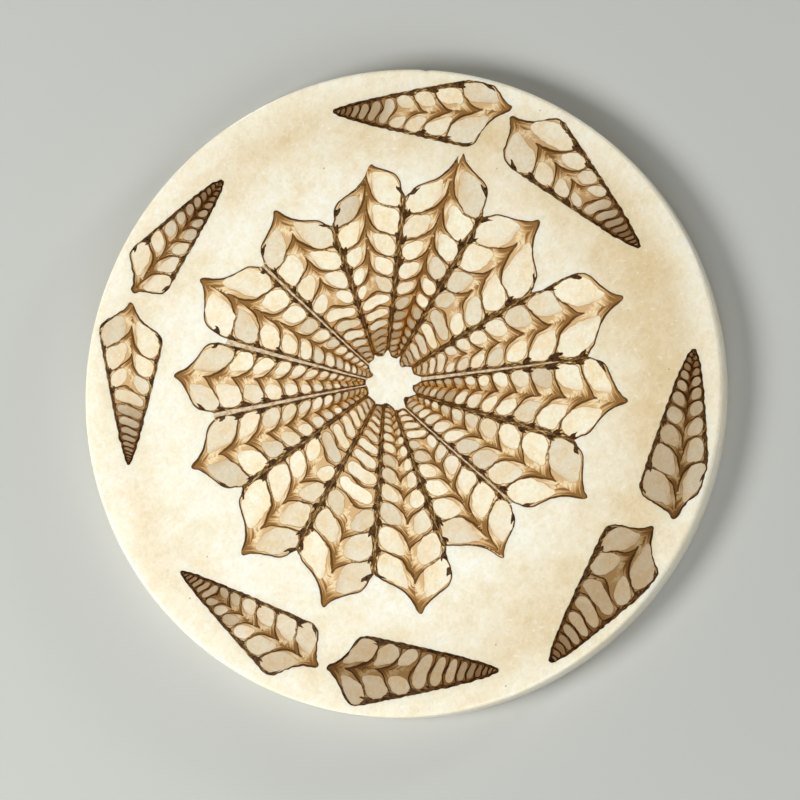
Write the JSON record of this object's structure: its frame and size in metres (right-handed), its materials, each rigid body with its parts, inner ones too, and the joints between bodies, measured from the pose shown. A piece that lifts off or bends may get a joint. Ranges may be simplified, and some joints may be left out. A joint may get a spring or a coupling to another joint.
{
  "type": "fossil shell inlay disc",
  "caption": "Round slab of polished translucent calcite inlaid flush with lengthwise slices of turreted sea-snail shells, in a central rosette and in pairs round the rim.",
  "frame": {"origin": "centre of the plain underside, on the surface the disc lies on", "axes": "+Z out of the inlaid face, +Y towards the pair of shells at the top of the face, +X to its right"},
  "size_m": [0.2, 0.2, 0.012],
  "materials": {
    "calcite": "polished, translucent, sugary grain",
    "shell": "polished, brown walls with pale calcite filling"
  },
  "bodies": {
    "root": {"stone_disc": "calcite", "rosette_shell_01": "shell", "rosette_shell_02": "shell", "rosette_shell_03": "shell", "rosette_shell_04": "shell", "rosette_shell_05": "shell", "rosette_shell_06": "shell", "rosette_shell_07": "shell", "rosette_shell_08": "shell", "rosette_shell_09": "shell", "rosette_shell_10": "shell", "rosette_shell_11": "shell", "rosette_shell_12": "shell", "rosette_shell_13": "shell", "rosette_shell_14": "shell", "rim_shell_top_left": "shell", "rim_shell_top_right": "shell", "rim_shell_left_upper": "shell", "rim_shell_left_lower": "shell", "rim_shell_bottom_left": "shell", "rim_shell_bottom_right": "shell", "rim_shell_right_upper": "shell", "rim_shell_right_lower": "shell"}
  },
  "joints": []
}
